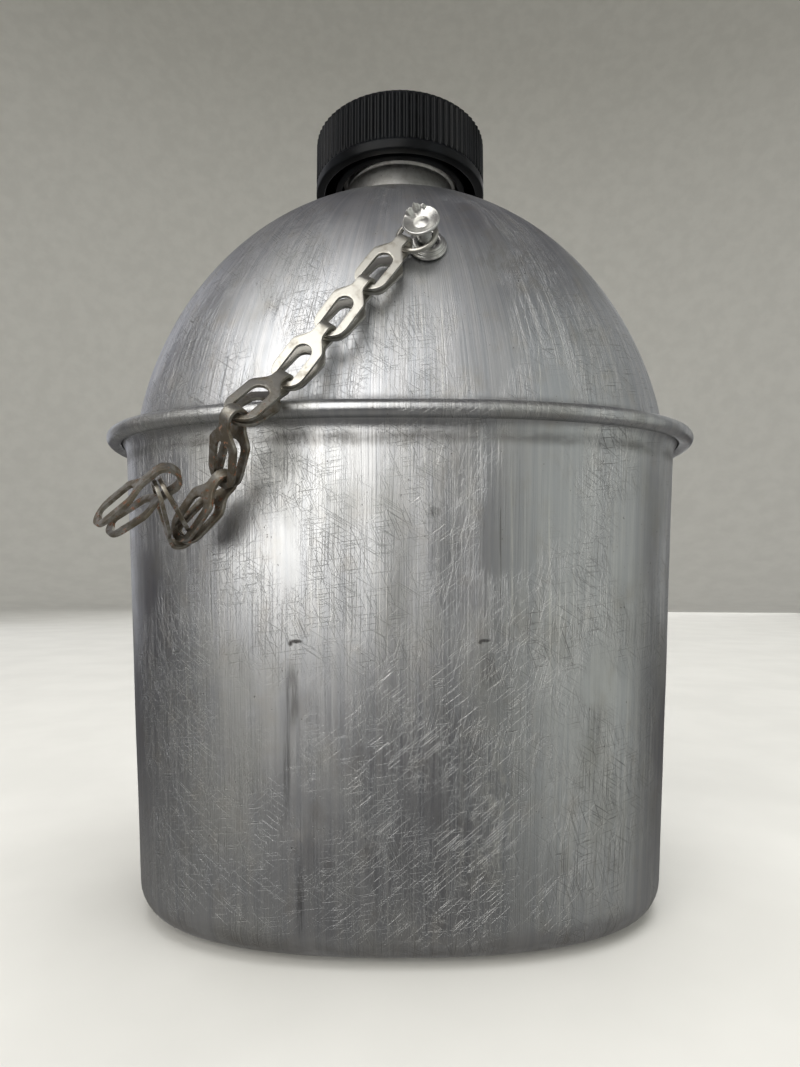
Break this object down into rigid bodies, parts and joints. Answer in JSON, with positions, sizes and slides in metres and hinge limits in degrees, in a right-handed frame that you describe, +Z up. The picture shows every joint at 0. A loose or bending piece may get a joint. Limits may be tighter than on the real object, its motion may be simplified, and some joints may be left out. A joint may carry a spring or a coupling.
{
  "type": "canteen",
  "caption": "Kidney-section aluminium field canteen standing in its canteen cup, with a ribbed screw cap, a hanging chain of folded sheet links and the cup's folding handle.",
  "frame": {"origin": "middle of the bounding box, on the surface the cup stands on", "axes": "+Z up along the canteen, -Y towards the convex front with the chain, +X to the right seen from the front"},
  "size_m": [0.1486, 0.094, 0.201],
  "materials": {
    "worn_aluminium": "brushed and worn",
    "neck_aluminium": "satin, turned",
    "bright_aluminium": "bright",
    "black_plastic": "moulded, satin",
    "gasket": "matt",
    "chain_metal": "worn, lightly tarnished",
    "handle_metal": "dull",
    "rivet_metal": "dull"
  },
  "bodies": {
    "cup": {"cup_shell": "worn_aluminium", "handle_bracket": "handle_metal", "handle_rivet_1": "rivet_metal", "handle_rivet_2": "rivet_metal", "handle_rivet_3": "rivet_metal", "handle_rivet_4": "rivet_metal", "handle_pin": "handle_metal"},
    "canteen": {"canteen_shell": "worn_aluminium", "canteen_neck": "neck_aluminium", "stud_base": "bright_aluminium", "chain_stud": "bright_aluminium"},
    "cap_liner": {"cap_gasket": "gasket"},
    "cap": {"cap_shell": "black_plastic"},
    "ring": {"swivel_ring": "chain_metal"},
    "link_1": {"chain_link_1": "chain_metal"},
    "link_2": {"chain_link_2": "chain_metal"},
    "link_3": {"chain_link_3": "chain_metal"},
    "link_4": {"chain_link_4": "chain_metal"},
    "link_5": {"chain_link_5": "chain_metal"},
    "link_6": {"chain_link_6": "chain_metal"},
    "link_7": {"chain_link_7": "chain_metal"},
    "link_8": {"chain_link_8": "chain_metal"},
    "handle": {"handle_strap": "handle_metal"},
    "latch": {"handle_latch": "handle_metal", "latch_stud": "handle_metal"}
  },
  "joints": [
    {"name": "canteen_lift", "type": "slide", "parent": "cup", "child": "canteen", "axis": [0, 0, 1], "range_m": [0, 0.13]},
    {"name": "cap_rise", "type": "slide", "parent": "canteen", "child": "cap_liner", "axis": [0, 0, 1], "range_m": [0, 0.0145]},
    {"name": "cap_turn", "type": "hinge", "parent": "cap_liner", "child": "cap", "pos_m": [0, 0.01516, 0.19], "axis": [0, 0, 1], "range_deg": [0, 1260]},
    {"name": "ring_swivel", "type": "hinge", "parent": "canteen", "child": "ring", "pos_m": [0.006, -0.02081, 0.15237], "axis": [-0.2095, -0.9272, 0.3103], "range_deg": [-3, 45]},
    {"name": "link_1_hinge", "type": "hinge", "parent": "ring", "child": "link_1", "pos_m": [0.00041, -0.02531, 0.14998], "axis": [-0.8232, 0.2054, 0.5293], "range_deg": [0, 25]},
    {"name": "link_2_hinge", "type": "hinge", "parent": "link_1", "child": "link_2", "pos_m": [-0.00748, -0.02912, 0.13919], "axis": [-0.8221, 0.2221, 0.5242], "range_deg": [0, 25]},
    {"name": "link_3_hinge", "type": "hinge", "parent": "link_2", "child": "link_3", "pos_m": [-0.01533, -0.03201, 0.12809], "axis": [-0.8034, 0.2113, 0.5567], "range_deg": [0, 25]},
    {"name": "link_4_hinge", "type": "hinge", "parent": "link_3", "child": "link_4", "pos_m": [-0.02354, -0.03433, 0.11712], "axis": [-0.8377, 0.2107, 0.5039], "range_deg": [0, 25]},
    {"name": "link_5_hinge", "type": "hinge", "parent": "link_4", "child": "link_5", "pos_m": [-0.03087, -0.04204, 0.10816], "axis": [-0.7522, 0.3877, 0.5328], "range_deg": [0, 25]},
    {"name": "link_6_hinge", "type": "hinge", "parent": "link_5", "child": "link_6", "pos_m": [-0.03463, -0.03432, 0.09723], "axis": [-0.6306, 0.4861, 0.605], "range_deg": [0, 25]},
    {"name": "link_7_hinge", "type": "hinge", "parent": "link_6", "child": "link_7", "pos_m": [-0.04356, -0.03277, 0.08669], "axis": [-0.5011, 0.5529, 0.6658], "range_deg": [-60, 4]},
    {"name": "link_8_hinge", "type": "hinge", "parent": "link_7", "child": "link_8", "pos_m": [-0.04394, -0.0436, 0.09539], "axis": [-0.3029, 0.7124, 0.6331], "range_deg": [-4, 50]},
    {"name": "handle_fold", "type": "hinge", "parent": "cup", "child": "handle", "pos_m": [0, 0.04296, 0.084], "axis": [1, 0, 0], "range_deg": [0, 90]},
    {"name": "latch_slide", "type": "slide", "parent": "handle", "child": "latch", "axis": [0, 0, 1], "range_m": [0, 0.028]}
  ],
  "couplings": [
    {"joint": "cap_rise", "follows": "cap_turn", "m_per_rad": 0.00063662}
  ]
}
